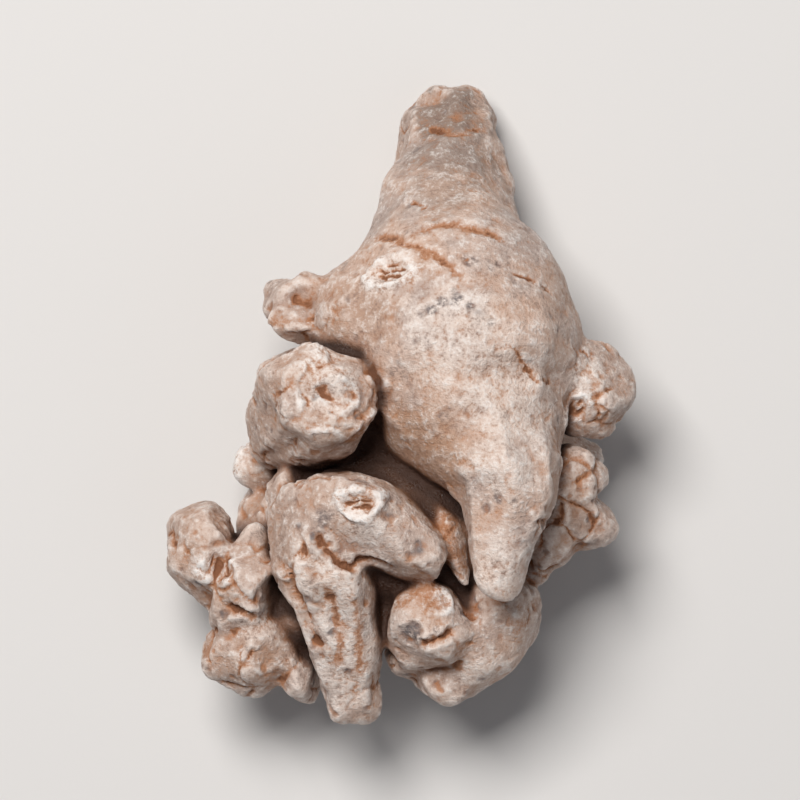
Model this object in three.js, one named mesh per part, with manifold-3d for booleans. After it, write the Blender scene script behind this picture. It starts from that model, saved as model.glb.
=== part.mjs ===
// A dried notoginseng root, one piece as it grew, lying on its side on a level surface.
//
// Millimetres, +Z up. The origin is on the surface, under the middle of the root's outline.
// +Y runs from the knobbly crown to the tip of the taproot, which is the root's longest side.
//
// The root is made of two kinds of shape. A nodule is a lumpy ellipsoid. A branch is a turned
// profile bent along a curved middle line. All of them are joined into one solid, so neighbours
// meet in the creases that a dried root has.
import * as THREE from "three";
import { mergeVertices } from "three/addons/utils/BufferGeometryUtils.js";
import Module from "manifold-3d";

// Driving dimensions
const ROOT_LENGTH = 48.6; // along Y, from the end of the lower side root to the taproot's tip
const WORN_FLAT = 0.25; // how far the lowest points are rubbed flat where the root bears
const LUMP_HEIGHT = 0.1; // how far lumps stand out or sink in, as a share of a nodule's size
const LUMP_WAVES = 1.9; // radians of lumpiness across one half-size of a nodule
const BRANCH_LUMP_LENGTH = 4; // the half-size that a branch's lumps are scaled to

// Fineness of the mesh
const FACET_LENGTH = 2.2;
const FEWEST_DIVISIONS = 2;
const MOST_DIVISIONS = 5;
const BRANCH_SIDES = 16;
const ROWS_PER_STATION = 2;
const WELD_GAP = 1e-4;

const ACROSS = new THREE.Vector3(1, 0, 0);
const UP = new THREE.Vector3(0, 0, 1);

const wasm = await Module();
wasm.setup();

// A smooth, repeatable unevenness between -1 and 1, from three crossed waves.
function unevenness({ x, y, z }, seed) {
  const first = Math.sin(LUMP_WAVES * (x + 0.6 * y) + 2.1 * seed);
  const second = Math.sin(LUMP_WAVES * 1.3 * (y - 0.5 * z) + 3.7 * seed);
  const third = Math.sin(LUMP_WAVES * 1.6 * (z + 0.4 * x) + 5.3 * seed);
  return (first + second + third) / 3;
}

// Moves each vertex of a geometry to where the rule puts it.
function reshape(geometry, rule) {
  const place = geometry.getAttribute("position");
  const point = new THREE.Vector3();
  for (let i = 0; i < place.count; i++) {
    point.fromBufferAttribute(place, i);
    const moved = rule(point);
    place.setXYZ(i, moved.x, moved.y, moved.z);
  }
  return geometry;
}

// A nodule: an ellipsoid with the given half-sizes, turned some degrees about Z, with soft lumps.
function nodule({ at, size, turn = 0, lumps = 1 }, seed) {
  const halfSizes = new THREE.Vector3(...size);
  const centre = new THREE.Vector3(...at);
  const angle = THREE.MathUtils.degToRad(turn);
  const wanted = Math.round(Math.max(...size) / FACET_LENGTH);
  const divisions = THREE.MathUtils.clamp(wanted, FEWEST_DIVISIONS, MOST_DIVISIONS);
  const ball = new THREE.IcosahedronGeometry(1, divisions);
  return reshape(ball, (p) => {
    const swell = 1 + lumps * LUMP_HEIGHT * unevenness(p, seed);
    return p.clone().multiplyScalar(swell).multiply(halfSizes).applyAxisAngle(UP, angle).add(centre);
  });
}

// A branch: each station is [x, y, z, radius], and the first and last radius are 0, so it is
// closed. The radii make the outline of a lathe shape that is then bent along the stations.
function branch(stations, lumps, seed) {
  const last = stations.length - 1;
  const centres = stations.map(([x, y, z]) => new THREE.Vector3(x, y, z));
  const middle = new THREE.CatmullRomCurve3(centres, false, "catmullrom");
  const outline = new THREE.SplineCurve(stations.map(([, , , r], i) => new THREE.Vector2(r, i / last)));
  const turned = new THREE.LatheGeometry(outline.getPoints(last * ROWS_PER_STATION), BRANCH_SIDES);
  return reshape(turned, (p) => {
    const share = THREE.MathUtils.clamp(p.y, 0, 1);
    const along = middle.getTangent(share);
    const top = new THREE.Vector3().crossVectors(along, ACROSS).normalize();
    const side = new THREE.Vector3().crossVectors(along, top);
    const centre = middle.getPoint(share);
    const offset = side.multiplyScalar(p.x).addScaledVector(top, p.z);
    const spot = centre.clone().add(offset).divideScalar(BRANCH_LUMP_LENGTH);
    const swell = 1 + lumps * LUMP_HEIGHT * unevenness(spot, seed);
    return centre.addScaledVector(offset, swell);
  });
}

// The taproot, from its blunt tip through the fat body to the pointed spur over the crown.
const TAPROOT_AND_SPUR = [
  [3.5, 24.3, 2.9, 0],
  [3.5, 24.0, 2.9, 1.6],
  [3.7, 23.2, 2.95, 2.6],
  [3.9, 21.8, 3.2, 3.4],
  [4.0, 19.6, 4.2, 4.1],
  [4.0, 17.2, 5.7, 4.8],
  [3.7, 14.8, 7.3, 5.5],
  [3.5, 12.6, 8.9, 6.2],
  [3.8, 10.3, 10.5, 7.6],
  [4.2, 7.8, 11.8, 8.6],
  [4.7, 4.5, 13.0, 9.2],
  [5.2, 1.4, 13.8, 8.9],
  [5.8, -1.2, 14.8, 8.0],
  [6.8, -3.4, 16.2, 6.3],
  [7.6, -5.4, 17.4, 4.9],
  [8.0, -7.4, 18.2, 3.9],
  [7.9, -9.8, 18.8, 3.0],
  [7.7, -12.0, 19.0, 2.35],
  [7.6, -14.0, 18.9, 1.85],
  [7.6, -15.5, 18.7, 1.3],
  [7.6, -16.2, 18.6, 0],
];

// The broken side root that hangs below the crown.
const LOWER_SIDE_ROOT = [
  [-6.4, -6.6, 13.6, 0],
  [-6.4, -7.0, 13.7, 2.0],
  [-6.3, -8.2, 14.2, 3.4],
  [-5.9, -10.6, 14.6, 4.2],
  [-5.3, -13.2, 14.4, 4.1],
  [-4.6, -15.8, 13.6, 3.5],
  [-4.1, -18.4, 12.6, 2.9],
  [-3.8, -21.0, 11.6, 2.6],
  [-3.7, -23.0, 10.8, 2.3],
  [-4.0, -24.0, 10.4, 1.5],
  [-4.1, -24.3, 10.3, 0],
];

// The short side root that points up on the left, broken off across its end.
const UPRIGHT_STUB = [
  [-8.4, -3.4, 6.6, 0],
  [-8.3, -3.2, 7.0, 2.2],
  [-8.0, -2.8, 8.4, 3.7],
  [-7.4, -2.2, 11.0, 4.4],
  [-6.6, -1.4, 14.4, 4.5],
  [-5.9, -0.7, 17.6, 4.3],
  [-5.5, -0.3, 19.6, 4.1],
  [-5.3, -0.1, 20.8, 3.4],
  [-5.2, 0.0, 21.4, 1.9],
  [-5.2, 0.0, 21.6, 0],
];

// Two short stubs on the hidden side, low on the left and low on the right.
const LOW_LEFT_STUB = [
  [-4.0, -4.6, 7.0, 0],
  [-4.6, -4.6, 6.9, 2.2],
  [-6.6, -4.7, 6.6, 3.0],
  [-9.0, -4.9, 6.2, 2.6],
  [-11.0, -5.2, 5.8, 2.4],
  [-12.0, -5.4, 5.6, 1.7],
  [-12.4, -5.5, 5.5, 0],
];
const LOW_RIGHT_STUB = [
  [8.0, -3.0, 7.2, 0],
  [8.6, -3.2, 7.0, 2.0],
  [10.4, -3.8, 6.2, 2.9],
  [12.4, -4.5, 5.2, 2.5],
  [14.0, -5.1, 4.3, 2.3],
  [14.9, -5.4, 3.8, 1.6],
  [15.3, -5.5, 3.6, 0],
];

// Each branch is its stations and how lumpy it is.
const BRANCHES = [
  [TAPROOT_AND_SPUR, 0.3],
  [LOWER_SIDE_ROOT, 0.8],
  [UPRIGHT_STUB, 0.5],
  [LOW_LEFT_STUB, 0.8],
  [LOW_RIGHT_STUB, 0.8],
];

// Nodules, by the place where they grow.
const CROWN_CORE = [
  { at: [0.6, -9.2, 10.2], size: [10.4, 8.2, 6.6] },
  { at: [1.0, -2.6, 11.8], size: [5.6, 4.8, 4.4], turn: -20, lumps: 0.5 },
  { at: [2.0, -1.0, 9.0], size: [8.2, 8.6, 4.6] },
  { at: [-1.4, 5.9, 12.4], size: [5.6, 5.5, 6.5], lumps: 0.6 },
];

const SCARRED_LOBE = [
  { at: [-3.4, -8.9, 16.4], size: [4.4, 3.4, 4.0], turn: -25, lumps: 0.5 },
  { at: [-0.9, -10.5, 16.0], size: [4.2, 3.2, 4.0], turn: -35, lumps: 0.5 },
  { at: [1.3, -11.9, 15.5], size: [2.7, 2.6, 3.6], turn: -30, lumps: 0.5 },
];

const RIGHT_EARS = [
  { at: [13.7, 0.5, 11.6], size: [4.0, 3.9, 3.7], turn: -12 },
  { at: [12.6, -6.2, 11.4], size: [3.4, 2.8, 3.7], turn: 10 },
  { at: [13.0, -9.0, 10.6], size: [3.1, 2.7, 3.5], turn: -15 },
  { at: [11.2, -11.2, 11.4], size: [2.5, 2.1, 2.7], turn: 20 },
  { at: [10.4, -13.3, 10.4], size: [1.4, 1.2, 1.8] },
];

const LOWER_RIGHT_LOBE = [
  { at: [7.2, -16.9, 11.6], size: [3.8, 4.1, 4.2], turn: -20 },
  { at: [6.2, -19.6, 10.6], size: [3.2, 2.6, 3.7], turn: 25 },
  { at: [3.9, -21.2, 9.8], size: [2.8, 2.5, 3.3], turn: 15 },
  { at: [0.8, -19.8, 10.2], size: [2.3, 1.8, 2.6] },
];

const BLOCK_NODULE = [{ at: [2.2, -17.4, 13.2], size: [3.6, 3.9, 3.9], turn: 8 }];

const LEFT_KNOBS = [
  { at: [-14.5, -12.2, 9.4], size: [3.1, 4.3, 4.4], turn: 15 },
  { at: [-11.4, -13.9, 11.0], size: [3.0, 4.6, 4.2], turn: -12, lumps: 1.4 },
  { at: [-10.8, -19.2, 9.2], size: [4.0, 3.2, 4.4], turn: 20, lumps: 1.4 },
  { at: [-7.5, -20.6, 8.8], size: [2.0, 2.2, 2.8] },
  { at: [-7.7, -16.8, 8.6], size: [3.4, 3.4, 3.8] },
  { at: [-8.5, -7.0, 13.2], size: [2.0, 1.7, 2.2], turn: -20 },
];

const SHOULDER_NUBS = [
  { at: [-8.7, 7.7, 11.4], size: [1.7, 1.9, 2.0], turn: 20, lumps: 1.6 },
  { at: [-6.6, 8.0, 12.6], size: [1.4, 1.5, 1.8], lumps: 1.6 },
  { at: [-6.9, 5.4, 13.2], size: [3.1, 1.3, 1.9], turn: -12, lumps: 1.6 },
];

const CREVICE_COLUMN = [{ at: [4.1, -11.4, 15.0], size: [1.4, 3.4, 2.0], turn: 18 }];

const UNDERSIDE = [
  { at: [-8.4, -10.0, 5.2], size: [4.7, 4.4, 5.45], turn: 25, lumps: 0.4 },
  { at: [9.4, -8.4, 5.3], size: [4.4, 4.7, 5.55], turn: -20, lumps: 0.4 },
  { at: [-2.4, -15.6, 5.4], size: [4.6, 3.5, 4.7], turn: 24 },
  { at: [4.6, -14.8, 6.4], size: [3.3, 4.2, 5.0], turn: 16 },
  { at: [0.2, -8.0, 5.0], size: [3.9, 4.9, 4.6], turn: 30 },
  { at: [3.8, -3.4, 5.6], size: [4.3, 3.1, 4.4], turn: -24 },
  { at: [-2.6, -2.0, 6.0], size: [2.9, 3.9, 4.2], turn: 18 },
  { at: [-7.4, 0.2, 7.2], size: [4.0, 3.2, 4.4], turn: -30 },
  { at: [11.2, 1.6, 7.4], size: [3.3, 4.2, 4.2], turn: -14 },
  { at: [2.6, 3.4, 7.2], size: [4.8, 2.9, 4.2], turn: 20 },
  { at: [-3.6, 5.2, 7.8], size: [2.6, 3.2, 3.4], turn: 15 },
  { at: [7.6, 9.0, 5.2], size: [2.2, 1.7, 2.5], turn: 30 },
];

const NODULES = [
  ...CROWN_CORE,
  ...SCARRED_LOBE,
  ...RIGHT_EARS,
  ...LOWER_RIGHT_LOBE,
  ...BLOCK_NODULE,
  ...LEFT_KNOBS,
  ...SHOULDER_NUBS,
  ...CREVICE_COLUMN,
  ...UNDERSIDE,
];

// A geometry as a closed solid that can be joined and cut.
function solidFrom(geometry) {
  geometry.deleteAttribute("normal");
  geometry.deleteAttribute("uv");
  const welded = mergeVertices(geometry, WELD_GAP);
  const corners = welded.getIndex().array;
  const triVerts = [];
  for (let i = 0; i < corners.length; i += 3) {
    const [a, b, c] = corners.slice(i, i + 3);
    if (a !== b && b !== c && c !== a) triVerts.push(a, b, c);
  }
  const mesh = new wasm.Mesh({
    numProp: 3,
    vertProperties: welded.getAttribute("position").array,
    triVerts: new Uint32Array(triVerts),
  });
  return new wasm.Manifold(mesh);
}

// A solid as a geometry.
function geometryFrom(solid) {
  const { vertProperties, triVerts } = solid.getMesh();
  const geometry = new THREE.BufferGeometry();
  geometry.setAttribute("position", new THREE.BufferAttribute(vertProperties, 3));
  geometry.setIndex(new THREE.BufferAttribute(triVerts, 1));
  geometry.computeVertexNormals();
  return geometry;
}

// All branches and nodules joined, set down on the surface, and rubbed flat where they bear.
function wholeRoot() {
  const branches = BRANCHES.map(([stations, lumps], seed) => branch(stations, lumps, seed));
  const nodules = NODULES.map((sizes, i) => nodule(sizes, BRANCHES.length + i));
  const grown = [...branches, ...nodules].map(solidFrom).reduce((root, next) => root.add(next));
  const { min, max } = grown.boundingBox();
  const middle = [0, 1].map((axis) => (min[axis] + max[axis]) / 2);
  const setDown = grown.translate([-middle[0], -middle[1], -min[2] - WORN_FLAT]);
  const below = new THREE.BoxGeometry(2 * ROOT_LENGTH, 2 * ROOT_LENGTH, ROOT_LENGTH);
  below.translate(0, 0, -ROOT_LENGTH / 2);
  return setDown.subtract(solidFrom(below));
}

const driedSkin = new THREE.MeshStandardMaterial({
  color: new THREE.Color().setRGB(0.78, 0.68, 0.62, THREE.SRGBColorSpace),
  roughness: 0.9,
  metalness: 0,
});

const root = new THREE.Mesh(geometryFrom(wholeRoot()), driedSkin);
root.name = "notoginseng_root";

const part = new THREE.Group();
part.add(root);

export default part;
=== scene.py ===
# %% [markdown]
# # A dried notoginseng root
#
# The object is one root, as it grew and dried: a fat tapering taproot, a pointed spur, a few
# broken side roots and a crown of knobbly nodules. Everything is worked out from one solid that
# already has the right size and place, so this script only has to give it a skin.
#
# The steps are: set the stage; turn the solid into a distance field; flatten, soften, sharpen
# and dent that field the way drying does; make a fine mesh from it; give the mesh its crust,
# scars and creases; note where those lie; and paint the skin with those notes.

# %% Load the frame
import math

import bpy
import numpy as np
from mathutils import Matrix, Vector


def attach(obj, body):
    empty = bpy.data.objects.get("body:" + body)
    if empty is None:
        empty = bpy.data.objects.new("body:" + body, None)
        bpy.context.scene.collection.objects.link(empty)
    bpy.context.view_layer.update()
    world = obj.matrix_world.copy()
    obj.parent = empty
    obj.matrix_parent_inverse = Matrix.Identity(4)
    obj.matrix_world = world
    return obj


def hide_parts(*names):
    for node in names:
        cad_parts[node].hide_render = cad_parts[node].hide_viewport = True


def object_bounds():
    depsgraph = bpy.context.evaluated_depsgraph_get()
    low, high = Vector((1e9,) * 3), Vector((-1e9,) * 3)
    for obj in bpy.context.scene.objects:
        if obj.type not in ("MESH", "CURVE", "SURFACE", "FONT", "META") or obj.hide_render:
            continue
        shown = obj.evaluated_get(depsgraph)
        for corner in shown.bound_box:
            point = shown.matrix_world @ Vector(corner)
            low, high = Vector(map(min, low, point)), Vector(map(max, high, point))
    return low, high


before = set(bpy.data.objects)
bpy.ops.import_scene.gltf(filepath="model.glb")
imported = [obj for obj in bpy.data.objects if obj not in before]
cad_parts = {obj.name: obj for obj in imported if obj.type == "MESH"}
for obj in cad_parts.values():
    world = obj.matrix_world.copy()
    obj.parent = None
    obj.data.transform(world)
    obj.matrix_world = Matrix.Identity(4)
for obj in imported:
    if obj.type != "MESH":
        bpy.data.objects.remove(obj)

import openvdb as vdb
from mathutils import Vector

MM = 0.001
root_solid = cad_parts["notoginseng_root"]
cad_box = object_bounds()
low_corner, high_corner = (Vector(corner) for corner in cad_box)
root_middle = (low_corner + high_corner) / 2
print("solid box in mm:", [round(side / MM, 2) for side in high_corner - low_corner])

# %% [markdown]
# ## Stage
#
# A root is small, so the camera stands well back with a long lens, which keeps the near nodules
# from looking bigger than the far ones. It looks almost straight down. A lamp high above, a
# little to the top left, gives the soft shadows that show the relief, and a broad weak one at
# the lower right keeps the creases readable. The floor is plain and pale.

# %% Camera
CAMERA_DISTANCE = 0.6
CAMERA_ELEVATION = math.radians(87)
SHARE_OF_PICTURE = 0.80  # how much of the picture's height the root takes up
SENSOR = 36.0
NEAREST_SEEN = 0.01
FARTHEST_SEEN = 10

camera_data = bpy.data.cameras.new("camera")
camera = bpy.data.objects.new("camera", camera_data)
bpy.context.scene.collection.objects.link(camera)
bpy.context.scene.camera = camera
to_camera = Vector((0, -math.cos(CAMERA_ELEVATION), math.sin(CAMERA_ELEVATION)))
camera.location = root_middle + to_camera * CAMERA_DISTANCE
camera.rotation_euler = (math.pi / 2 - CAMERA_ELEVATION, 0, 0)
picture_side = (high_corner.y - low_corner.y) / SHARE_OF_PICTURE
camera_data.sensor_width = SENSOR
camera_data.lens = SENSOR * CAMERA_DISTANCE / picture_side
camera_data.clip_start = NEAREST_SEEN
camera_data.clip_end = FARTHEST_SEEN
print("lens in mm:", round(camera_data.lens))


# %% Lamps
def add_lamp(name, place, side, power, colour):
    """A square area lamp at a place, pointed at the middle of the root."""
    lamp_data = bpy.data.lights.new(name, "AREA")
    lamp_data.size = side
    lamp_data.energy = power
    lamp_data.color = colour
    lamp = bpy.data.objects.new(name, lamp_data)
    bpy.context.scene.collection.objects.link(lamp)
    lamp.location = place
    lamp.rotation_euler = (root_middle - Vector(place)).to_track_quat("-Z", "Y").to_euler()
    print(name, "stands", round((root_middle - Vector(place)).length, 2), "m away")


add_lamp("key_lamp", place=(-0.12, 0.19, 0.52), side=0.24, power=3.6, colour=(1.0, 0.97, 0.94))
add_lamp("fill_lamp", place=(0.30, -0.30, 0.40), side=0.50, power=0.3, colour=(0.94, 0.96, 1.0))

# %% World and floor
SKY_COLOUR = (0.90, 0.93, 1.0, 1)
SKY_STRENGTH = 0.14
FLOOR_SIDE = 3.0
FLOOR_COLOUR = (0.66, 0.65, 0.64, 1)
FLOOR_ROUGHNESS = 0.8

world = bpy.data.worlds.new("studio")
world.use_nodes = True
bpy.context.scene.world = world
sky = world.node_tree.nodes["Background"]
sky.inputs["Color"].default_value = SKY_COLOUR
sky.inputs["Strength"].default_value = SKY_STRENGTH
bpy.context.scene.view_settings.view_transform = "Standard"

bpy.ops.mesh.primitive_plane_add(size=FLOOR_SIDE, location=(0, 0, low_corner.z))
floor = bpy.context.object
floor.name = "floor"
floor_paint = bpy.data.materials.new("floor_paint")
floor_paint.use_nodes = True
floor_shader = floor_paint.node_tree.nodes["Principled BSDF"]
floor_shader.inputs["Base Color"].default_value = FLOOR_COLOUR
floor_shader.inputs["Roughness"].default_value = FLOOR_ROUGHNESS
floor.data.materials.append(floor_paint)
print("floor side in m:", FLOOR_SIDE)

# %% [markdown]
# ## From solid to distance field
#
# A distance field is a grid of numbers: how far each point of space is from the surface, less
# than nothing inside. It is the easiest form in which to melt neighbouring nodules into each
# other, cut a crease or raise an edge, because each of those is one sum. Sculpting brushes or
# modifiers could do the same, but a sum gives the same result each time.

# %% Distance field
VOXEL = 0.2  # one cell of the grid, in mm
BAND = 14  # how many cells from the surface the distances are worked out
MARGIN = 10  # empty cells round the solid


def corners_and_triangles(mesh):
    """A mesh's corners, in mm, and its triangles, as arrays."""
    mesh.calc_loop_triangles()
    corners = np.empty(len(mesh.vertices) * 3, np.float32)
    mesh.vertices.foreach_get("co", corners)
    triangles = np.empty(len(mesh.loop_triangles) * 3, np.int32)
    mesh.loop_triangles.foreach_get("vertices", triangles)
    return corners.reshape(-1, 3) / MM, triangles.reshape(-1, 3)


def distance_field(corners, triangles):
    """The distance from the surface of a closed mesh, for every cell of the grid."""
    level_set = vdb.FloatGrid.createLevelSetFromPolygons(
        corners, triangles=triangles, transform=voxel_steps, halfWidth=BAND
    )
    values = np.zeros(grid_shape, np.float32)
    level_set.copyToArray(values, ijk=tuple(int(i) for i in first_cell))
    return values


voxel_steps = vdb.createLinearTransform(voxelSize=VOXEL)
solid_points, solid_faces = corners_and_triangles(root_solid.data)
first_cell = np.floor(solid_points.min(0) / VOXEL).astype(int) - MARGIN
last_cell = np.ceil(solid_points.max(0) / VOXEL).astype(int) + MARGIN
grid_shape = tuple(int(side) for side in last_cell - first_cell + 1)
field = distance_field(solid_points, solid_faces)
print("grid:", field.shape, "mm from", field.min(), "to", field.max())

# %% [markdown]
# ## Flat faces
#
# Flesh that dries under a stiff skin does not stay round: it draws flat between the stiffer
# ridges. A copy of the solid with far fewer triangles has such flat faces and clear edges, so a
# share of its distance field is mixed in. It may cut deep but add only a little, because small
# nodules would otherwise grow horns. The copy is thrown away afterwards.

# %% Mix in a coarse copy
SAME_CORNER = 0.01  # corners closer than this, in mm, are one corner
COARSE_SHARE = 0.07
FLATNESS = 0.7
MOST_GROWN = 0.12
MOST_SUNK = 0.9


def with_modifiers(thing):
    """A new mesh: the object's own one after its modifiers."""
    bpy.context.view_layer.update()
    shaped = thing.evaluated_get(bpy.context.evaluated_depsgraph_get())
    return bpy.data.meshes.new_from_object(shaped)


coarse = bpy.data.objects.new("coarse copy", root_solid.data.copy())
bpy.context.scene.collection.objects.link(coarse)
coarse.modifiers.new("joined corners", "WELD").merge_threshold = SAME_CORNER * MM
coarse.modifiers.new("far fewer faces", "DECIMATE").ratio = COARSE_SHARE
coarse_mesh = with_modifiers(coarse)
coarse_field = distance_field(*corners_and_triangles(coarse_mesh))
field = field + FLATNESS * np.clip(coarse_field - field, -MOST_GROWN, MOST_SUNK)
print("coarse copy:", len(coarse_mesh.loop_triangles), "triangles")
bpy.data.objects.remove(coarse)
bpy.data.meshes.remove(coarse_mesh)

# %% [markdown]
# ## Soften the joins
#
# Where two nodules meet on a real root there is a crease, but the skin still runs on from one to
# the other. Blurring the field rounds such a join, and the wider the blur the rounder the join.
# A narrow blur does for the nodules. The taproot's body, its shoulder and the start of the spur
# grew as one mass, so they get a wide one. The spur's point, the scarred lobe and two nodules
# are firm and have smoother skin than the rest, so they get one between the two.

# %% Three blurs
NARROW_BLUR = 0.24
MIDDLE_BLUR = 0.7
WIDE_BLUR = 1.25
BELL_REACH = 2.4  # how many spreads of the bell curve are counted


def blurred(values, spread):
    """The field averaged with its surroundings, by a bell curve of that spread in mm."""
    reach = math.ceil(BELL_REACH * spread / VOXEL)
    steps = np.arange(-reach, reach + 1)
    weights = np.exp(-0.5 * (steps * VOXEL / spread) ** 2)
    weights = (weights / weights.sum()).astype(np.float32)
    for axis in range(3):
        padding = [(reach, reach) if a == axis else (0, 0) for a in range(3)]
        padded = np.pad(values, padding, mode="edge")
        length = values.shape[axis]
        values = np.zeros_like(values)
        for start, weight in enumerate(weights):
            window = [slice(None)] * 3
            window[axis] = slice(start, start + length)
            values += weight * padded[tuple(window)]
    return values


crisp = blurred(field, NARROW_BLUR)
rounded = blurred(field, MIDDLE_BLUR)
melted = blurred(field, WIDE_BLUR)
print("most that the wide blur moves, in mm:", round(float(np.abs(melted - field).max()), 2))

# %% Places shaped like eggs
EGG_EDGE = 0.35  # how soft an egg's edge is, as a share of its size
GROWN_TOGETHER = [
    ((4.6, 7.0, 13.5), (10.5, 10.0, 9.5)),
    ((-1.0, 7.2, 14.0), (4.4, 4.4, 6.5)),
    ((5.8, -2.0, 17.0), (6.5, 4.6, 5.0)),
]
FIRM_PLACES = [
    ((7.6, -9.0, 18.6), (2.8, 8.5, 2.8)),
    ((-1.8, -9.9, 17.4), (4.6, 3.6, 3.6)),
    ((2.2, -17.4, 15.4), (3.0, 3.4, 2.2)),
    ((7.2, -19.0, 12.6), (3.6, 3.6, 3.6)),
]


def smooth_step(values, low, high):
    """0 below low, 1 above high, and an easy curve between."""
    share = np.clip((values - low) / (high - low), 0, 1)
    return share * share * (3 - 2 * share)


def inside_egg(x, y, z, middle, half_sizes):
    """1 inside an egg-shaped place, 0 outside it, with a soft edge."""
    parts = [(value - m) / h for value, m, h in zip((x, y, z), middle, half_sizes)]
    radius = np.sqrt(parts[0] ** 2 + parts[1] ** 2 + parts[2] ** 2)
    return 1 - smooth_step(radius, 1 - EGG_EDGE, 1 + EGG_EDGE)


def inside_any(eggs, x, y, z):
    """1 inside any of the eggs, 0 outside them all."""
    share = 0
    for middle, half_sizes in eggs:
        share = np.maximum(share, inside_egg(x, y, z, middle, half_sizes))
    return share


cell_x, cell_y, cell_z = (
    ((first_cell[a] + np.arange(field.shape[a])) * VOXEL).astype(np.float32) for a in range(3)
)
cell_x = cell_x[:, None, None]
cell_y = cell_y[None, :, None]
cell_z = cell_z[None, None, :]
one_mass = inside_any(GROWN_TOGETHER, cell_x, cell_y, cell_z)
firm = inside_any(FIRM_PLACES, cell_x, cell_y, cell_z)
print("cells melted together:", int((one_mass > 0.5).sum()))

# %% Blend the blurs by place
crisp += (rounded - crisp) * firm
field = crisp + (melted - crisp) * one_mass
print("cells in the middle blur:", int((firm > 0.5).sum()))

# %% [markdown]
# ## Sharpen the creases
#
# Drying also pulls the skin tight into the creases and leaves the edges standing. Where the field
# differs from its own blur there is a crease or an edge, so adding a share of that difference
# makes creases deeper and edges sharper and leaves even slopes alone. Raising is limited more
# than cutting, so that no edge turns into a thorn, and the smooth body gets less of both.

# %% Sharpen
SHARPEN_REACH = 0.8
SHARPEN_BY = 1.6
SPARED_ON_BODY = 0.7
MOST_RAISED = 0.30
MOST_CUT = 0.9

edges_and_creases = field - blurred(field, SHARPEN_REACH)
sharper = SHARPEN_BY * (1 - SPARED_ON_BODY * one_mass) * edges_and_creases
field = field + np.clip(sharper, -MOST_RAISED, MOST_CUT)
print("deepest change in mm:", round(float(np.abs(field - crisp).max()), 2))

# %% [markdown]
# ## Lumps from drying
#
# As the root loses water its flesh sinks unevenly, so no nodule stays a clean ball. Three kinds
# of smooth noise change the field near the surface: wide hollows, knuckle-sized lumps, and
# crooked ridges that run where a noise is close to 0. The smooth body gets less of the last two.

# %% Smooth noise
LATTICE = 64
SEED_STRIDE = 7.31  # how far apart in the noise two seeds lie
TILT = np.array([[0.36, 0.48, -0.80], [-0.80, 0.60, 0.00], [0.48, 0.64, 0.60]])

dice = np.random.default_rng(11)
lattice = dice.uniform(-1, 1, (LATTICE, LATTICE, LATTICE)).astype(np.float32)


def smooth_noise(points, size, seed):
    """Noise between about -1 and 1 at each point, with lumps of about that size."""
    spots = points @ TILT / size + seed * SEED_STRIDE
    corners = np.floor(spots).astype(np.int64)
    part = spots - corners
    part = part * part * (3 - 2 * part)
    total = 0
    for step in np.ndindex(2, 2, 2):
        weight = np.prod(np.where(step, part, 1 - part), axis=1)
        where = (corners + step) % LATTICE
        total = total + weight * lattice[where[:, 0], where[:, 1], where[:, 2]]
    return total


print("random numbers drawn:", lattice.size)

# %% Change the field by the lumps
NEAR_SURFACE = 1.4
HOLLOW_HEIGHT = 0.30
KNUCKLE_HEIGHT = 0.26
KNUCKLE_SPARED = 0.6  # the share that the smooth body is spared
RIDGE_HEIGHT = 0.42
RIDGE_SPARED = 0.75
RIDGE_REACH = 0.3  # a ridge stands where the noise is closer to 0 than this

near = np.abs(field) < NEAR_SURFACE
near_points = (np.argwhere(near) + first_cell) * VOXEL
lumps = HOLLOW_HEIGHT * smooth_noise(near_points, size=5.5, seed=1)
knuckles = KNUCKLE_HEIGHT * smooth_noise(near_points, size=2.6, seed=2)
lumps += knuckles * (1 - KNUCKLE_SPARED * one_mass[near])
ridges = RIDGE_REACH - np.abs(smooth_noise(near_points, size=3.4, seed=8))
lumps += RIDGE_HEIGHT * ridges * (1 - RIDGE_SPARED * one_mass[near])
field[near] -= lumps
print("lumps in mm:", round(float(lumps.min()), 2), "to", round(float(lumps.max()), 2))

# %% [markdown]
# ## From field to mesh
#
# What these sums pushed below the floor is cut off first, so that the root still lies on it. The
# surface is where the field is 0. It comes out as small, even squares, which is what the fine
# relief needs: each corner can then be pushed in or out a little.

# %% Mesh
def surface_of(values):
    """The corners, in mm, and the squares of the surface where the field is 0."""
    grid = vdb.FloatGrid(background=float(VOXEL * BAND))
    grid.transform = voxel_steps
    grid.copyFromArray(np.ascontiguousarray(values), ijk=tuple(int(i) for i in first_cell))
    points, quads = grid.convertToQuads(isovalue=0)
    return points.astype(float), quads.astype(np.int64)


field = np.maximum(field, -cell_z)
points, quads = surface_of(field)
print("corners:", len(points), "squares:", len(quads))

# %% Averages over neighbours, and the direction that each corner faces
TINY = 1e-9  # keeps a division by a length from being one by 0

edge_ends = np.concatenate([quads[:, [i, (i + 1) % 4]] for i in range(4)])
edge_ends = np.unique(np.sort(edge_ends, axis=1), axis=0)
edge_from = np.concatenate([edge_ends[:, 0], edge_ends[:, 1]])
edge_to = np.concatenate([edge_ends[:, 1], edge_ends[:, 0]])
neighbour_count = np.bincount(edge_from, minlength=len(points))[:, None]


def gathered(indices, rows):
    """The sum of the rows that share an index, for every corner."""
    sums = [np.bincount(indices, rows[:, column], len(points)) for column in range(rows.shape[1])]
    return np.stack(sums, axis=1)


def neighbour_average(rows, rounds):
    """Each corner's rows averaged with its neighbours', over and over."""
    for _ in range(rounds):
        rows = (rows + gathered(edge_from, rows[edge_to]) / neighbour_count) / 2
    return rows


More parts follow.
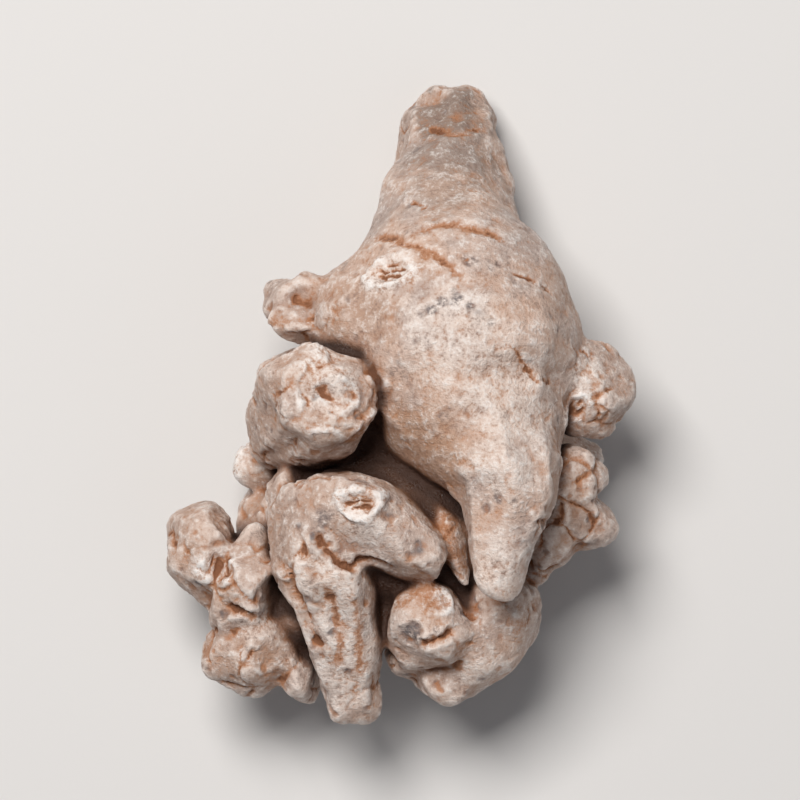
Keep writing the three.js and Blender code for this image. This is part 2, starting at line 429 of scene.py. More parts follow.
def facing(corners):
    """The outward direction at every corner, of length 1."""
    a, b, c, d = (corners[quads[:, i]] for i in range(4))
    square_normals = np.cross(c - a, d - b)
    normals = gathered(quads.ravel(), np.repeat(square_normals, 4, axis=0))
    return normals / np.maximum(np.linalg.norm(normals, axis=1, keepdims=True), TINY)


normals = facing(points)
if np.einsum("ij,ij->", normals, points - points.mean(0)) < 0:
    quads = quads[:, ::-1]
    normals = facing(points)
print("edges:", len(edge_ends))

# %% [markdown]
# ## Crust
#
# The nodules carry a corky crust that dried into plates a few millimetres across, with cracks
# between them and smaller bits on top. The stretched skin of the taproot and of the spur has
# little crust and shows fine wrinkles across its length instead. The broken side root has long
# ridges, and small pits are found all over. Plates and bits come from a cell pattern: each point
# of space belongs to the nearest of many scattered seeds, and a crack runs where two seeds are
# about as near. A bump in the paint could stand in for all this, but it wouldn't show at the
# root's outline.

# %% How deep each corner lies
SUNKEN_REACH = 1.5
HOLLOW_REACH = 2.0
OPEN_TO_AIR = (0.55, 0.80)  # from fully open to fully closed in, as shares of solid around


def read_grid(values, corners):
    """The grid's value at every corner, from the eight cells around it."""
    spots = corners / VOXEL - first_cell
    cells = np.floor(spots).astype(np.int64)
    part = spots - cells
    total = 0
    for step in np.ndindex(2, 2, 2):
        weight = np.prod(np.where(step, part, 1 - part), axis=1)
        i, j, k = (cells + step).T
        total = total + weight * values[i, j, k]
    return total


solid_share = blurred((field < 0).astype(np.float32), SUNKEN_REACH)
wide_share = blurred(solid_share, HOLLOW_REACH)
sunken = read_grid(solid_share, points)
hollow = read_grid(wide_share, points)
open_to_air = 1 - smooth_step(sunken, *OPEN_TO_AIR)
print("share of corners that are closed in:", round(float((open_to_air < 0.5).mean()), 3))

# %% Where the skin is crusty
SMOOTH_SKIN = [
    ((4.0, 8.0, 14.0), (10.5, 17.0, 13.0)),
    ((6.5, -4.0, 18.0), (5.5, 7.0, 6.0)),
    ((7.8, -10.0, 18.8), (2.7, 8.0, 3.4)),
    ((1.6, -3.6, 16.5), (4.5, 3.8, 4.0)),
]
SIDE_ROOT = ((-4.8, -17.0, 14.0), (4.0, 8.0, 4.5))
SMOOTH_SKIN_SPARED = 0.8  # the share of the crust that smooth skin is spared
FIRM_SPARED = 0.6  # the same for firm places and for the side root

smooth_skin = inside_any(SMOOTH_SKIN, *points.T)
on_firm = inside_any(FIRM_PLACES, *points.T)
on_side_root = inside_egg(*points.T, *SIDE_ROOT)
crust = 1 - SMOOTH_SKIN_SPARED * smooth_skin
crust = crust * (1 - FIRM_SPARED * np.maximum(on_firm, on_side_root)) * open_to_air
print("share of corners with crust:", round(float((crust > 0.5).mean()), 3))


# %% Cell patterns
CELL_SEED_STRIDE = 3.77
SCATTER = 0.45  # how far a seed may lie from the middle of its cell
FAR_AWAY = 9.0


def grains(points, size, seed, groove=0.45):
    """1 in the middle of a rounded grain of about that size, 0 in the groove between two."""
    spots = points @ TILT / size + seed * CELL_SEED_STRIDE
    cells = np.floor(spots).astype(np.int64)
    nearest = np.full(len(points), FAR_AWAY)
    second = np.full(len(points), FAR_AWAY)
    for step in np.ndindex(3, 3, 3):
        neighbour = cells + np.array(step) - 1
        i, j, k = (neighbour % LATTICE).T
        jitter = [lattice[(i + 7 * turn) % LATTICE, (j + 13 * turn) % LATTICE, k] for turn in range(3)]
        seed_spot = neighbour + 0.5 + SCATTER * np.stack(jitter, axis=1)
        distance = np.linalg.norm(spots - seed_spot, axis=1)
        second = np.minimum(second, np.maximum(nearest, distance))
        nearest = np.minimum(nearest, distance)
    return smooth_step(second - nearest, 0.0, groove)


def bent(points, by, size, seed):
    """The points moved about by smooth noise, so that a pattern on them loses its straightness."""
    sways = [by * smooth_noise(points, size, seed + k) for k in range(3)]
    return points + np.stack(sways, axis=1)


plates = grains(bent(points, by=1.3, size=2.0, seed=40), size=3.6, seed=9, groove=0.13)
small_bits = grains(bent(points, by=0.25, size=0.8, seed=50), size=0.95, seed=2)
print("share of corners between plates:", round(float((plates < 0.5).mean()), 3))

# %% Cracks and small bits
CRACK_DEPTH = 0.20
CRACKED_PATCHES = (-0.2, 0.35)  # from no cracks to all of them, as values of a noise
BIT_HEIGHT = 0.05
BIT_LEVEL = 0.6
EVEN_SHARE = 0.65
PATCHY_SHARE = 0.35

cracked_here = smooth_step(smooth_noise(points, size=2.2, seed=44), *CRACKED_PATCHES)
cracks = (1 - plates) * cracked_here * crust
patchy = EVEN_SHARE + PATCHY_SHARE * smooth_noise(points, size=3.1, seed=3)
relief = -CRACK_DEPTH * cracks + BIT_HEIGHT * crust * patchy * (small_bits - BIT_LEVEL)
print("cracks in mm:", round(float(relief.min()), 2))

# %% Grain, swells, wrinkles, long ridges and pits
GRAIN_SHARE = 0.4
GRAIN_HEIGHT = 0.08
GRAIN_ON_CRUST = 0.03  # added to the grain's height where there is crust
SWELL_HEIGHT = 0.07
WRINKLE_STRETCH = (0.22, 1.0, 0.22)  # draws the wrinkles out across the root's length
WRINKLE_HEIGHT = 0.07
RIDGE_STRETCH = (1.0, 0.18, 1.0)  # draws the ridges out along it
LONG_RIDGE_HEIGHT = 0.18
PIT_EDGE = (0.44, 0.74)
PITS_SPARED = 0.5  # the share of the pits that smooth skin is spared
PIT_DEPTH = 0.09

wide_grain = smooth_noise(bent(points, by=0.4, size=1.2, seed=53), size=0.55, seed=4)
fine = GRAIN_SHARE * wide_grain + GRAIN_SHARE * smooth_noise(points, size=0.33, seed=5)
relief += (GRAIN_HEIGHT + GRAIN_ON_CRUST * crust) * fine * open_to_air
swells = smooth_noise(bent(points, by=0.8, size=2.0, seed=56), size=1.5, seed=8)
relief += SWELL_HEIGHT * swells * crust
wrinkles = smooth_noise(points * WRINKLE_STRETCH, size=0.75, seed=6)
relief += WRINKLE_HEIGHT * wrinkles * smooth_skin * open_to_air
drawn_out = bent(points, by=0.5, size=3.0, seed=60) * RIDGE_STRETCH
long_ridges = smooth_noise(drawn_out, size=0.85, seed=9)
relief += LONG_RIDGE_HEIGHT * long_ridges * on_side_root * open_to_air
pits = smooth_step(smooth_noise(points, size=0.70, seed=7), *PIT_EDGE)
pits = pits * (1 - PITS_SPARED * smooth_skin) * open_to_air
relief -= PIT_DEPTH * pits
print("relief in mm:", round(relief.min(), 2), "to", round(relief.max(), 2))

# %% Push the relief into the mesh, and keep its fine part for the paint
BITS_IN_SPECK = 0.3
WRINKLES_IN_SPECK = 0.2

speck = fine + BITS_IN_SPECK * (small_bits - BIT_LEVEL) * crust
speck = speck + WRINKLES_IN_SPECK * wrinkles * smooth_skin
points = points + normals * relief[:, None]
normals = facing(points)
print("speck from", round(float(speck.min()), 2), "to", round(float(speck.max()), 2))

# %% [markdown]
# ## Scars, creases and stains
#
# Each side root or stem that broke off left a ring: a raised pale rim round a sunken core. The
# skin also has a few long creases where it folded as it shrank, and small dark pits. All of them
# are pushed into the mesh along the direction that each corner faces. Each also leaves a mark,
# so that the paint lies exactly where the shape is. A place is given in mm, seen from above, or
# with a height where it is on a side or below.

# %% Find places on the surface
CALM_ROUNDS = 12
TOP_REACH = 0.4
ROUTE_STEP = 0.15

calm_normals = neighbour_average(normals, CALM_ROUNDS)
calm_normals /= np.linalg.norm(calm_normals, axis=1, keepdims=True)


def spot_on_skin(place):
    """The number of the corner at a place: the highest one there, or the nearest in space."""
    if len(place) == 3:
        return int(np.argmin(np.linalg.norm(points - place, axis=1)))
    beside = np.linalg.norm(points[:, :2] - place, axis=1)
    return int(np.argmax(np.where(beside < TOP_REACH, points[:, 2], -np.inf)))


def smooth_route(places):
    """Points at even steps along a smooth curve through the places, laid on the skin."""
    stops = np.array([points[spot_on_skin(place)] for place in places])
    stops = np.concatenate([[2 * stops[0] - stops[1]], stops, [2 * stops[-1] - stops[-2]]])
    route = []
    for a, b, c, d in zip(stops, stops[1:], stops[2:], stops[3:]):
        count = max(2, math.ceil(np.linalg.norm(c - b) / ROUTE_STEP))
        for t in np.linspace(0, 1, count, endpoint=False):
            bend = 2 * a - 5 * b + 4 * c - d
            twist = 3 * b - a - 3 * c + d
            route.append((2 * b + (c - a) * t + bend * t**2 + twist * t**3) / 2)
    return np.array([points[spot_on_skin(tuple(p[:2]))] for p in route])


print("highest corner over the middle, in mm:", round(float(points[spot_on_skin((0.0, 0.0)), 2]), 2))

# %% Marks, and how far each corner is pushed
MARK_NAMES = ("rim", "fresh", "slate", "groove", "tip_shadow", "worn", "tan_skin_and_shade")

marks = {name: np.zeros(len(points)) for name in MARK_NAMES}
push = np.zeros(len(points))


def leave_mark(name, values):
    """Keeps the stronger of the old mark and the new one."""
    marks[name] = np.maximum(marks[name], np.clip(values, 0, 1))


print("kinds of mark:", len(marks))

# %% Creases
WANDER = np.array([0.6, 0.8, 0.0])  # the direction in which a crease strays from its route
FADE_SHARE = 0.12  # the share of its length over which a crease fades at each end
END_STRENGTH = 0.35
LIP_PLACE = 2.1  # in widths from the middle of the crease
LIP_HEIGHT = 0.22  # as a share of its depth


def crease_along(places, width, depth, mark="groove"):
    """A groove through the places, with its edges a little raised."""
    route = smooth_route(places)
    reach = 3 * width + 1
    low = route.min(0) - reach
    high = route.max(0) + reach
    close_by = np.flatnonzero(((points > low) & (points < high)).all(1))
    drift = 0.28 * smooth_noise(points[close_by], size=1.1, seed=21)
    drift += 0.12 * smooth_noise(points[close_by], size=0.4, seed=22)
    strayed = points[close_by] + drift[:, None] * WANDER
    away = np.linalg.norm(strayed[:, None, :] - route[None, :, :], axis=2)
    along = away.argmin(1) / (len(route) - 1)
    away = away.min(1)
    fade = smooth_step(along, 0.0, FADE_SHARE) * (1 - smooth_step(along, 1 - FADE_SHARE, 1.0))
    groove = np.exp(-((away / width) ** 2)) * (END_STRENGTH + (1 - END_STRENGTH) * fade)
    lip = np.exp(-(((away - LIP_PLACE * width) / width) ** 2)) * fade
    push[close_by] += depth * (LIP_HEIGHT * lip - groove)
    values = np.zeros(len(points))
    values[close_by] = groove
    leave_mark(mark, values)


print("share of its length over which a crease fades at each end:", FADE_SHARE)

# %% Where the creases run: places, width and depth
CREASES = [
    (((0.3, 12.6), (1.9, 13.3), (3.8, 13.6), (5.7, 13.3), (7.3, 12.7), (8.6, 12.2)), 0.34, 0.18),
    (((-2.7, 12.6), (-0.9, 12.5), (1.0, 11.8), (2.6, 10.9), (4.0, 9.7), (4.8, 8.9)), 0.34, 0.20),
    (((9.0, 9.7), (10.6, 9.1), (12.2, 8.0)), 0.16, 0.22),
    (((7.8, 3.2), (9.4, 2.4), (10.9, 1.5), (12.3, 1.1)), 0.18, 0.14),
    (((1.6, 21.9), (2.9, 21.5), (4.6, 21.3), (6.4, 21.8)), 0.34, 0.24),
    (((0.2, 15.4), (1.9, 15.0)), 0.18, 0.22),
    (((5.6, 16.6), (7.6, 16.2)), 0.18, 0.20),
    (((-7.2, -10.3), (-5.4, -11.5), (-3.7, -12.5), (-2.2, -13.2), (-0.6, -13.8)), 0.30, 0.55),
    (((-13.6, -16.3), (-12.2, -16.7), (-10.8, -17.3)), 0.26, 0.55),
    (((-12.7, -20.9), (-11.5, -20.2), (-10.3, -19.5)), 0.24, 0.35),
    (((0.9, -19.6), (2.4, -19.2), (3.8, -18.6), (5.0, -17.7)), 0.26, 0.55),
    (((10.9, -10.3), (11.7, -9.3), (12.3, -8.2)), 0.26, 0.45),
    (((-5.6, -15.0), (-5.0, -18.2), (-4.8, -21.6)), 0.30, 0.07),
    (((-3.4, -15.4), (-2.9, -19.0), (-3.0, -22.4)), 0.28, 0.06),
    (((-8.2, -11.0), (-7.4, -12.6)), 0.24, 0.30),
]
FRESH_SEAM = (((-9.6, -12.6), (-8.5, -15.5), (-7.1, -18.2), (-6.4, -20.4)), 0.55, 0.60)

for crease in CREASES:
    crease_along(*crease)
crease_along(*FRESH_SEAM, mark="fresh")
print("deepest crease in mm:", round(float(-push.min()), 2))


# %% Ring scars
FIBRE_SPACING = 0.55
RIM_WIDTH = 0.26  # as a share of the scar's radius
BOWL_EDGE = (0.45, 0.85)
FLAT_PART = 0.45  # the share of the core's depth that has no fibres
FACING_OUT = -0.1


def flat_around(place, turn=0.0):
    """Where every corner lies around a place: along and across its tangent plane, and above it."""
    middle = spot_on_skin(place)
    up = calm_normals[middle]
    heading = np.array([math.cos(math.radians(turn)), math.sin(math.radians(turn)), 0.0])
    along = heading - up * heading.dot(up)
    along /= np.linalg.norm(along)
    offset = points - points[middle]
    outer_side = normals @ up > FACING_OUT
    return offset @ along, offset @ np.cross(up, along), offset @ up, outer_side


def ring_scar(place, radii, turn, rim, core):
    """A raised rim round a sunken core that is crossed by fibres."""
    along, across, above, outer_side = flat_around(place, turn)
    here = outer_side & (np.abs(above) < 1.5 * max(radii))
    ragged = 1 + 0.22 * smooth_noise(points, size=1.1, seed=31)
    ragged += 0.10 * smooth_noise(points, size=0.45, seed=35)
    radius = np.hypot(along / radii[0], across / radii[1]) * ragged
    broken = 0.25 + 0.75 * smooth_step(smooth_noise(points, size=1.2, seed=36), -0.35, 0.25)
    bank = np.exp(-(((radius - 1) / RIM_WIDTH) ** 2)) * here * broken
    bowl = (1 - smooth_step(radius, *BOWL_EDGE)) * here
    sway = 2 * smooth_noise(points, size=0.8, seed=32)
    fibres = 0.5 + 0.5 * np.sin(across * 2 * math.pi / FIBRE_SPACING + sway)
    push[:] += rim * bank - core * bowl * (FLAT_PART + (1 - FLAT_PART) * fibres)
    leave_mark("rim", bank + 0.5 * bowl * (1 - fibres))
    leave_mark("fresh", 0.9 * bowl * fibres)


print("mm between the fibres of a scar:", FIBRE_SPACING)

# %% Where the scars are: place, radii, turn, height of the rim and depth of the core
SCARS = [
    ((-1.0, 9.6), (2.0, 1.25), -12, 0.30, 0.45),
    ((-3.4, -8.4), (1.6, 1.15), 10, 0.34, 0.60),
    ((3.2, -15.4), (1.1, 0.9), 40, 0.20, 0.10),
    ((13.6, -0.4, 14.0), (1.2, 0.9), 60, 0.20, 0.25),
    ((-14.6, -12.6, 13.0), (1.3, 1.0), 80, 0.22, 0.30),
    ((-12.4, -5.5, 5.5), (1.7, 1.5), 0, 0.26, 0.45),
    ((15.3, -5.5, 3.6), (1.6, 1.4), 0, 0.26, 0.45),
    ((-8.6, -13.4, 3.2), (1.5, 1.2), 30, 0.24, 0.35),
    ((4.4, -18.0, 4.6), (1.4, 1.1), 0, 0.24, 0.35),
    ((12.9, -10.6, 4.8), (1.3, 1.1), 50, 0.24, 0.35),
    ((0.4, -8.6, 0.6), (1.7, 1.3), 20, 0.22, 0.35),
    ((-10.2, 1.2, 6.0), (1.4, 1.1), 70, 0.24, 0.35),
    ((6.5, 5.0, 3.6), (2.1, 1.4), 15, 0.26, 0.35),
]

for scar in SCARS:
    ring_scar(*scar)
print("ring scars:", len(SCARS))


# %% Growth rings on the broken stub
BANK_WIDTH = 0.30
GAP_WIDTH = 0.26
GAP_PLACE = 0.55  # how far inside a ring its gap lies, in mm
GAP_SHARE = 0.8
RING_MARK = 0.7


def growth_rings(place, radii, height):
    """Rings round the middle of a broken end, as in a twig."""
    along, across, above, outer_side = flat_around(place)
    radius = np.hypot(along, across) + 0.7 * smooth_noise(points, size=1.6, seed=33)
    radius += 0.25 * smooth_noise(points, size=0.5, seed=37)
    here = outer_side & (np.abs(above) < 1.2 * max(radii))
    here = here * smooth_step(smooth_noise(points, size=1.3, seed=38), -0.45, 0.15)
    for ring in radii:
        bank = np.exp(-(((radius - ring) / BANK_WIDTH) ** 2)) * here
        gap = np.exp(-(((radius - ring + GAP_PLACE) / GAP_WIDTH) ** 2)) * here
        push[:] += height * (bank - GAP_SHARE * gap)
        leave_mark("rim", RING_MARK * bank)
        leave_mark("fresh", RING_MARK * gap)


growth_rings((-5.0, -0.1), radii=(1.3, 3.2), height=0.20)
print("corners on a rim:", int((marks["rim"] > 0.5).sum()))


# %% Stains
STAIN_EDGE = (0.55, 1.15)  # from full to none, as shares of the stain's size


def stain(name, place, size, depth=0.0, strength=1.0):
    """A ragged patch that only leaves a mark, or is also pushed in."""
    away = np.linalg.norm(points - points[spot_on_skin(place)], axis=1)
    wide_rags = 0.45 * smooth_noise(points, size=0.9, seed=34)
    fine_rags = 0.35 * smooth_noise(points, size=0.4, seed=39)
    ragged = away * (1 + wide_rags + fine_rags)
    patch = 1 - smooth_step(ragged, STAIN_EDGE[0] * size, STAIN_EDGE[1] * size)
    push[:] -= depth * patch
    leave_mark(name, strength * patch)


print("a stain is full up to and gone from, in shares of its size:", STAIN_EDGE)

# %% Dark pits, and where the skin is worn pale: place and size
DARK_PIT_DEPTH = 0.12
DARK_PITS = [
    ((4.7, 10.7), 0.40), ((7.6, 10.2), 0.35), ((3.0, 7.3), 0.45), ((5.5, 6.9), 0.35),
    ((6.9, 5.7), 0.30), ((4.3, 7.6), 0.55), ((2.1, 6.6), 0.50), ((5.2, 10.4), 0.55),
    ((7.0, 9.9), 0.30), ((6.9, -7.9), 0.45), ((6.2, -8.9), 0.40), ((8.2, -8.5), 0.40),
    ((2.9, -17.9), 0.35),
]
WORN_PLACES = [
    ((4.5, 4.0), 5.0), ((8.6, -0.6), 4.4), ((7.8, -5.0), 3.0), ((-5.2, 0.4), 3.0),
    ((-3.4, -9.6), 2.6), ((-4.4, -14.5), 3.2), ((-4.2, -18.0), 3.2), ((-4.0, -21.5), 3.6),
    ((14.4, 1.0, 14.0), 2.4), ((6.8, -21.0), 2.0), ((-1.4, 9.4), 2.4), ((-10.6, -17.0), 1.8),
    ((7.6, -13.5), 2.6),
]

for place, size in DARK_PITS:
    stain("slate", place, size, DARK_PIT_DEPTH)
for place, size in WORN_PLACES:
    stain("worn", place, size)
print("dark pits:", len(DARK_PITS), "worn places:", len(WORN_PLACES))

# %% Larger stains, painted shade and painted shadow: mark, place, size, depth and strength
STAINS = [
    ("slate", (0.4, -18.0), 1.1, 0.30, 1.0),
    ("slate", (-5.8, -9.6), 0.85, 0.10, 0.7),
    ("fresh", (0.0, -14.9), 1.6, 0.0, 1.0),
    ("fresh", (1.8, -14.6), 1.6, 0.0, 1.0),
    ("fresh", (6.2, 21.6), 0.8, 0.0, 0.8),
    ("fresh", (4.0, -9.4), 2.0, 0.0, 1.0),
    ("fresh", (4.6, -12.4), 2.2, 0.0, 1.0),
    ("fresh", (-2.6, -3.2), 1.6, 0.0, 0.7),
    ("fresh", (9.3, -17.8), 1.2, 0.0, 0.7),
    ("fresh", (-9.6, -21.4), 1.2, 0.0, 0.6),
    # The tan patches are partly the skin's own tan and partly painted shade, in the recess, beside the
    # body and on the low lobes.
    ("tan_skin_and_shade", (1.4, -4.2), 4.6, 0.0, 1.0),
    ("tan_skin_and_shade", (-3.4, 5.6), 4.2, 0.0, 0.7),
    ("tan_skin_and_shade", (-2.6, -3.0), 2.4, 0.0, 1.0),
    ("tan_skin_and_shade", (-10.6, -20.0), 2.6, 0.0, 0.7),
    ("tan_skin_and_shade", (-14.6, -14.6), 2.6, 0.0, 0.8),
    ("tan_skin_and_shade", (12.6, -8.0), 3.0, 0.0, 0.6),
    # The dusk patches are painted shadow over the taproot's tip.
    ("tip_shadow", (3.8, 22.6), 3.4, 0.0, 1.0),
    ("tip_shadow", (3.9, 19.6), 4.6, 0.0, 0.7),
    ("tip_shadow", (3.0, 16.2), 3.6, 0.0, 0.4),
]

for row in STAINS:
    stain(*row)
print("marks:", {name: int((values > 0.5).sum()) for name, values in marks.items()})

# %% Push scars, creases and stains into the mesh
points = points + normals * push[:, None]
points[:, 2] = np.maximum(points[:, 2], 0)
normals = facing(points)
print("pushed by, in mm:", round(float(push.min()), 2), "to", round(float(push.max()), 2))

# %% [markdown]
# ## Notes for the painter
#
# Colour on this root follows its relief: pale where the skin is rubbed, with a painted highlight
# on the crests; orange brown in narrow creases where the skin is fresh, with painted shade in the
# wider dips; and painted shade, nearly black, deep between nodules. So each corner of the mesh
# carries notes. Some compare it with its surroundings: how far it stands proud, how far it lies in
# a crease, how deep it is sunken and whether it lies in a wide hollow. The rest say where crust,
# cracks, pits and specks are, and where the marks above were left.

# %% Compare each corner with its surroundings
CLOSE_ROUNDS = 6
WIDE_ROUNDS = 40


def dip_below(rounds):
    """How far each corner lies below the average of its surroundings, in mm."""
    return np.einsum("ij,ij->i", neighbour_average(points, rounds) - points, normals)


close_dip = dip_below(CLOSE_ROUNDS)
wide_dip = dip_below(WIDE_ROUNDS)
note_crease = smooth_step(close_dip, 0.02, 0.12) * 0.3 + smooth_step(wide_dip, 0.04, 0.28) * 0.95
note_crest = smooth_step(-close_dip, 0.0, 0.08) * 0.35 + smooth_step(-wide_dip, -0.05, 0.25) * 0.6
# The hollow and sunken notes also set where painted shade goes in the paint below.
note_hollow_shade = smooth_step(hollow, 0.42, 0.74)
note_deep_shade = smooth_step(sunken, 0.50, 0.75)
print("share of corners in creases:", round(float((note_crease > 0.5).mean()), 3))
print("share of corners sunken:", round(float((note_deep_shade > 0.5).mean()), 3))

# %% The mesh as a Blender object, with its notes
SPECK_RANGE = 0.55

root_mesh = bpy.data.meshes.new("dried_root")
root_mesh.from_pydata((points * MM).tolist(), [], quads.tolist())
root_mesh.shade_smooth()
notes = {
    "crease": np.clip(note_crease, 0, 1),
    "crest": note_crest,
    "sunken": note_deep_shade,
    "hollow": note_hollow_shade,
    "crust": crust,
    "crack": cracks,
    "pit": pits,
    "speck": smooth_step(speck, -SPECK_RANGE, SPECK_RANGE),
    **marks,
}
for name, values in notes.items():
    note = root_mesh.attributes.new(name, "FLOAT", "POINT")
    note.data.foreach_set("value", values.astype(np.float32))
dried_root = bpy.data.objects.new("dried_root", root_mesh)
bpy.context.scene.collection.objects.link(dried_root)
print("notes:", list(notes))

# %% [markdown]
# ## Fewer triangles
#
# The even squares are more than the even parts of the skin need. Thinning takes faces away where
# the surface is nearly flat and leaves them where it is creased. It can pull a corner a hair
# below the floor, so each corner is then lifted back to it.

# %% Thin the mesh
MOST_TRIANGLES = 195000

thinner = dried_root.modifiers.new("fewer faces", "DECIMATE")
thinner.ratio = min(1, MOST_TRIANGLES / (2 * len(quads)))
thinned = with_modifiers(dried_root)
dried_root.modifiers.clear()
dried_root.data = thinned
thinned.name = "dried_root"
thinned.shade_smooth()
for corner in thinned.vertices:
    corner.co.z = max(corner.co.z, 0.0)
thinned.calc_loop_triangles()
print("triangles:", len(thinned.loop_triangles))

# %% [markdown]
# ## Skin
#
# The dry skin is matt. Its colour is built in layers, from broad to fine: a beige that drifts
# between warm and grey, tan skin with painted shade in the hollows, crust, pale rubbed skin with
# a painted highlight on the crests, worn places, painted shadow over the tip, a fine speckle of
# chalky white and slate grey, orange-brown creases with painted shade in them, and painted shade,
# nearly black, in the depths.
# The speckle is noise, but where each layer lies comes from the notes on the mesh. One picture
# wrapped round the root could hold the same colours, but it would blur close up.

# %% Helpers for shader nodes
skin = bpy.data.materials.new("dried_skin")
skin.use_nodes = True
tree = skin.node_tree
shader = tree.nodes["Principled BSDF"]


def new_node(kind, **settings):
    """A node of that kind, with its settings; those named after an input set that input."""
    node = tree.nodes.new(kind)
    for name, value in settings.items():
        if hasattr(node, name):
            setattr(node, name, value)
        else:
            node.inputs[name.replace("_", " ").title()].default_value = value
    return node


def note_of(name):
    """The output that reads one of the mesh's notes."""
    return new_node("ShaderNodeAttribute", attribute_name=name).outputs["Fac"]


def noise_of(size_mm, detail=4.0, roughness=0.55):
    """Noise with features of about that size, between 0 and 1."""
    place = new_node("ShaderNodeTexCoord")
    noise = new_node("ShaderNodeTexNoise", Scale=1 / (size_mm * MM))
    noise.inputs["Detail"].default_value = detail
    noise.inputs["Roughness"].default_value = roughness
    tree.links.new(place.outputs["Object"], noise.inputs["Vector"])
    return noise.outputs["Fac"]


def ramp_of(source, low, high, top=1.0):
    """The source stretched so that low becomes 0 and high becomes top, smoothly."""
    ramp = new_node("ShaderNodeMapRange", interpolation_type="SMOOTHSTEP")
    ramp.inputs["From Min"].default_value = low
    ramp.inputs["From Max"].default_value = high
    ramp.inputs["To Max"].default_value = top
    tree.links.new(source, ramp.inputs["Value"])
    return ramp.outputs["Result"]


print("nodes to start with:", [node.name for node in tree.nodes])


# %% Sums and layers
def combined(operation, first, second):
    """Two values, or a value and a number, put together by an arithmetic step."""
    step = new_node("ShaderNodeMath", operation=operation)
    for socket, value in zip(step.inputs, (first, second)):
        if isinstance(value, (int, float)):
            socket.default_value = value
        else:
            tree.links.new(value, socket)
    return step.outputs["Value"]


def times(first, second):
    """One value times another."""
    return combined("MULTIPLY", first, second)


def sum_of(first, *others):
    """All the values added up."""
    for other in others:
        first = combined("ADD", first, other)
    return first


def layered(under, over, cover):
    """A colour laid over another, by how much it covers."""
    mix = new_node("ShaderNodeMix", data_type="RGBA")
    for name, value in (("A", under), ("B", over)):
        socket = next(s for s in mix.inputs if s.name == name and s.type == "RGBA")
        if isinstance(value, tuple):
            socket.default_value = (*value, 1)
        else:
            tree.links.new(value, socket)
    tree.links.new(cover, mix.inputs["Factor"])
    return next(s for s in mix.outputs if s.type == "RGBA")


# %% Colours of the dried skin, and of the painted shade, shadow and highlight
WARM_BEIGE = (0.62, 0.42, 0.32)
GREY_BEIGE = (0.46, 0.375, 0.34)
PALE_RUB_AND_HIGHLIGHT = (0.88, 0.77, 0.70)
CHALK = (0.94, 0.90, 0.87)
TAN_AND_SHADE = (0.45, 0.25, 0.15)
CRUST_BROWN = (0.46, 0.30, 0.225)
SLATE = (0.12, 0.115, 0.125)
# The next colour is painted shadow over the taproot's tip.
PAINTED_TIP_SHADOW = (0.27, 0.19, 0.15)
CREASE_ORANGE = (0.44, 0.18, 0.07)
# The next two colours are painted shade: brown in creases and hollows, nearly black deep between
# nodules. The crease brown also colours real grooves and cracks.
CREASE_BROWN_AND_SHADE = (0.20, 0.075, 0.03)
PAINTED_DEEP_SHADE = (0.035, 0.012, 0.005)

print("palest and darkest:", CHALK, PAINTED_DEEP_SHADE)

# %% Grain: a made-up height that says where specks and wear fall
GRAIN_CONTRAST = 2.4
SPECK_SHARE = 0.6
GRAIN_LEVEL = 0.2

grain = noise_of(0.26, detail=5.0, roughness=0.68)
height = times(combined("SUBTRACT", grain, 0.5), GRAIN_CONTRAST)
height = sum_of(height, times(note_of("speck"), SPECK_SHARE), GRAIN_LEVEL)
print("nodes after the grain:", len(tree.nodes))

# %% Broad layers: beige, tan skin with painted shade in the hollows, crust, rubbed crests with a painted highlight, worn places and painted shadow on the tip
drift = ramp_of(noise_of(4.5), low=0.38, high=0.66, top=0.8)
# Tan skin and painted shade: wide hollows and the tan patches are painted browner.
brownness_and_shade = combined("MAXIMUM", note_of("hollow"), note_of("tan_skin_and_shade"))
worn = times(note_of("worn"), ramp_of(height, low=-0.3, high=0.9))

colour = layered(WARM_BEIGE, GREY_BEIGE, drift)
colour = layered(colour, TAN_AND_SHADE, ramp_of(brownness_and_shade, low=0.0, high=1.0, top=0.85))
colour = layered(colour, CRUST_BROWN, times(note_of("crust"), 0.65))
# Pale rubbed skin, and a painted highlight on the crests.
colour = layered(colour, PALE_RUB_AND_HIGHLIGHT, times(note_of("crest"), 0.75))
colour = layered(colour, PALE_RUB_AND_HIGHLIGHT, times(worn, 0.7))
# Painted shadow over the tip.
colour = layered(colour, PAINTED_TIP_SHADOW, times(note_of("tip_shadow"), 0.92))
print("nodes after the broad layers:", len(tree.nodes))

# %% Fine layers: chalky and dark specks, slate stains, pits and pale rims
tint = layered(CREASE_ORANGE, SLATE, ramp_of(noise_of(2.2, detail=3.0), low=0.40, high=0.66))
slate_stain = times(note_of("slate"), ramp_of(height, low=1.0, high=0.1, top=0.9))
pale_rim = times(note_of("rim"), ramp_of(height, low=0.15, high=0.75))

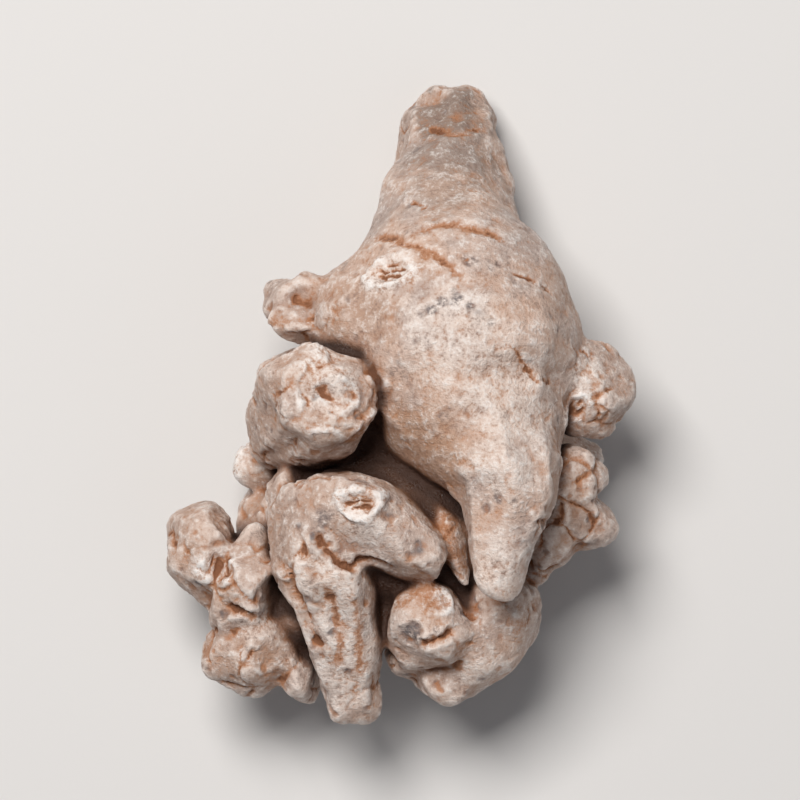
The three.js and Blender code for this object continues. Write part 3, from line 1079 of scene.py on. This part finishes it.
colour = layered(colour, CHALK, ramp_of(height, low=0.50, high=1.05, top=0.5))
colour = layered(colour, tint, ramp_of(height, low=0.45, high=-0.1, top=0.5))
colour = layered(colour, SLATE, slate_stain)
colour = layered(colour, tint, times(note_of("pit"), 0.75))
colour = layered(colour, CHALK, pale_rim)
print("nodes after the fine layers:", len(tree.nodes))

# %% Creases, and painted shade in the creases and depths
fresh = times(note_of("fresh"), ramp_of(noise_of(1.1), low=0.25, high=0.55))
# Grooves, cracks and fresh skin have their own orange-brown colour; the crease note, which measures
# dips in the relief, adds painted shade to it.
creases_and_shade = sum_of(
    note_of("crease"),
    times(note_of("groove"), 0.8),
    times(fresh, 0.55),
    times(note_of("crack"), 0.65),
    times(combined("SUBTRACT", height, 0.5), -0.5),
)
# Painted shade: the more closed in a corner is, the darker it is painted, to nearly black deep between
# nodules.
depth = note_of("sunken")

colour = layered(colour, CREASE_ORANGE, ramp_of(creases_and_shade, low=0.08, high=0.85, top=0.85))
colour = layered(colour, CREASE_BROWN_AND_SHADE, ramp_of(creases_and_shade, low=0.60, high=1.20, top=0.92))
colour = layered(colour, CREASE_BROWN_AND_SHADE, ramp_of(depth, low=0.0, high=0.60, top=0.60))
colour = layered(colour, PAINTED_DEEP_SHADE, ramp_of(depth, low=0.36, high=0.90, top=0.97))
tree.links.new(colour, shader.inputs["Base Color"])
print("nodes after the creases:", len(tree.nodes))

# %% Roughness and the finest relief
BUMP_HEIGHT = 0.20

tree.links.new(ramp_of(noise_of(1.2), low=0.0, high=1.0), shader.inputs["Roughness"])
bump = new_node("ShaderNodeBump", Strength=1.0, Distance=BUMP_HEIGHT * MM)
tree.links.new(grain, bump.inputs["Height"])
tree.links.new(bump.outputs["Normal"], shader.inputs["Normal"])
thinned.materials.clear()
thinned.materials.append(skin)
print("nodes in the skin:", len(tree.nodes))

# %% [markdown]
# ## Hand it over
#
# The root is one thing that grew, so one piece stands for the whole solid and takes its slot.

# %% Tell the frame which piece stands for the solid
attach(dried_root, "root")
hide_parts("notoginseng_root")
